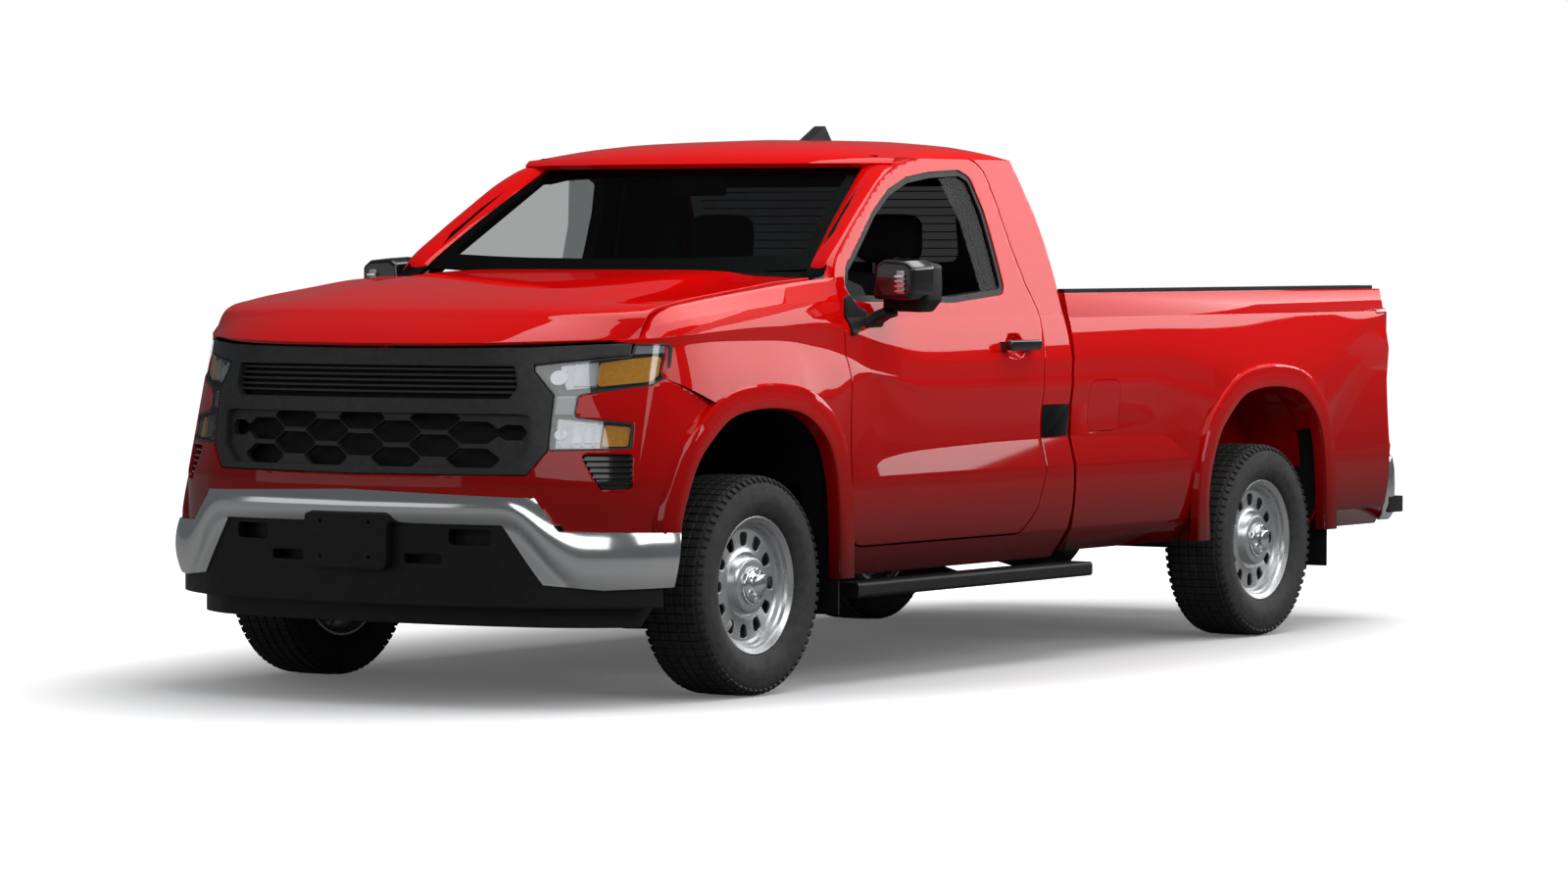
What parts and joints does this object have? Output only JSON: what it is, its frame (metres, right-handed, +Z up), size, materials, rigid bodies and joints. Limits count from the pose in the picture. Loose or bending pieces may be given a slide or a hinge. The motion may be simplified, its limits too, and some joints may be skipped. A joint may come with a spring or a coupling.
{
  "type": "pickup truck",
  "caption": "Full-size regular-cab, long-bed four-wheel-drive work pickup truck with opening doors, hood, tailgate and fuel door, turning wheels and steering.",
  "frame": {"origin": "on the ground, under the middle of the truck's overall length and width", "axes": "+Z up, +Y towards the rear bumper, +X towards the truck's left side"},
  "size_m": [2.392, 5.78, 1.955],
  "materials": {
    "red_paint": "gloss",
    "black_plastic": "textured",
    "black_gloss": "gloss",
    "chrome": "polished",
    "glass": "clear",
    "lamp": "clear",
    "red_lamp": "clear",
    "tyre": "matte",
    "wheel_silver": "satin",
    "frame_black": "satin",
    "cast_iron": "rough",
    "aluminium": "satin",
    "steel": "satin",
    "cloth": "woven",
    "trim": "grained"
  },
  "bodies": {
    "truck": {"cab_sides": "red_paint", "roof": "red_paint", "windscreen": "glass", "cab_back": "red_paint", "rear_window": "glass", "cab_floor": "trim", "cowl": "black_plastic", "hood_hinges": "steel", "fenders": "red_paint", "front_fascia": "red_paint", "grille": "black_plastic", "headlamps": "lamp", "front_bumper": "chrome", "valance": "black_plastic", "plate_bracket": "black_plastic", "bed_sides": "red_paint", "bed_floor": "red_paint", "bed_rail_caps": "black_plastic", "taillamps": "red_lamp", "rear_bumper": "chrome", "front_suspension": "frame_black", "rear_axle": "cast_iron", "leaf_springs": "steel", "frame_rails": "frame_black", "frame_crossmembers": "frame_black", "engine": "cast_iron", "gearbox": "aluminium", "propshaft": "steel", "radiator": "aluminium", "fuel_tank": "black_plastic", "exhaust": "steel", "spare_wheel": "tyre", "side_steps": "black_plastic", "wheel_liners": "black_plastic", "mud_flaps": "black_plastic", "dashboard": "trim", "seat": "cloth", "antenna": "black_gloss"},
    "hood": {"hood": "red_paint"},
    "door_left": {"door_left": "red_paint", "door_glass_left": "glass", "door_fittings_left": "black_plastic"},
    "door_right": {"door_right": "red_paint", "door_glass_right": "glass", "door_fittings_right": "black_plastic"},
    "tailgate": {"tailgate": "red_paint"},
    "fuel_door": {"fuel_door": "red_paint"},
    "knuckle_left": {"knuckle_left": "cast_iron"},
    "knuckle_right": {"knuckle_right": "cast_iron"},
    "wheel_front_left": {"tyre_front_left": "tyre", "rim_front_left": "wheel_silver"},
    "wheel_front_right": {"tyre_front_right": "tyre", "rim_front_right": "wheel_silver"},
    "wheel_rear_left": {"tyre_rear_left": "tyre", "rim_rear_left": "wheel_silver"},
    "wheel_rear_right": {"tyre_rear_right": "tyre", "rim_rear_right": "wheel_silver"},
    "steering_wheel": {"steering_wheel": "black_plastic"}
  },
  "joints": [
    {"name": "door_left_hinge", "type": "hinge", "parent": "truck", "child": "door_left", "pos_m": [0.975, -1.469, 0.9], "axis": [0, 0, -1], "range_deg": [0, 65]},
    {"name": "door_right_hinge", "type": "hinge", "parent": "truck", "child": "door_right", "pos_m": [-0.975, -1.469, 0.9], "axis": [0, 0, 1], "range_deg": [0, 65]},
    {"name": "hood_hinge", "type": "hinge", "parent": "truck", "child": "hood", "pos_m": [0, -1.45, 1.372], "axis": [-1, 0, 0], "range_deg": [0, 50]},
    {"name": "tailgate_hinge", "type": "hinge", "parent": "truck", "child": "tailgate", "pos_m": [0, 2.607, 0.806], "axis": [-1, 0, 0], "range_deg": [0, 90]},
    {"name": "fuel_door_hinge", "type": "hinge", "parent": "truck", "child": "fuel_door", "pos_m": [0.976, 0.228, 0.923], "axis": [0, 0, -1], "range_deg": [0, 80]},
    {"name": "steer_left", "type": "hinge", "parent": "truck", "child": "knuckle_left", "pos_m": [0.81, -1.92, 0.372], "axis": [0, 0, 1], "range_deg": [-32, 32]},
    {"name": "steer_right", "type": "hinge", "parent": "truck", "child": "knuckle_right", "pos_m": [-0.81, -1.92, 0.372], "axis": [0, 0, 1], "range_deg": [-32, 32]},
    {"name": "steering_column", "type": "hinge", "parent": "truck", "child": "steering_wheel", "pos_m": [0.4, -0.89, 1.235], "axis": [0, -0.922, -0.3872], "range_deg": [-512, 512]},
    {"name": "wheel_front_left_spin", "type": "hinge", "parent": "knuckle_left", "child": "wheel_front_left", "pos_m": [0.87, -1.92, 0.372], "axis": [1, 0, 0], "continuous": true},
    {"name": "wheel_front_right_spin", "type": "hinge", "parent": "knuckle_right", "child": "wheel_front_right", "pos_m": [-0.87, -1.92, 0.372], "axis": [1, 0, 0], "continuous": true},
    {"name": "wheel_rear_left_spin", "type": "hinge", "parent": "truck", "child": "wheel_rear_left", "pos_m": [0.87, 1.625, 0.372], "axis": [1, 0, 0], "continuous": true},
    {"name": "wheel_rear_right_spin", "type": "hinge", "parent": "truck", "child": "wheel_rear_right", "pos_m": [-0.87, 1.625, 0.372], "axis": [1, 0, 0], "continuous": true}
  ],
  "couplings": [
    {"joint": "steer_right", "follows": "steer_left", "ratio": 1},
    {"joint": "steering_column", "follows": "steer_left", "ratio": 16}
  ]
}
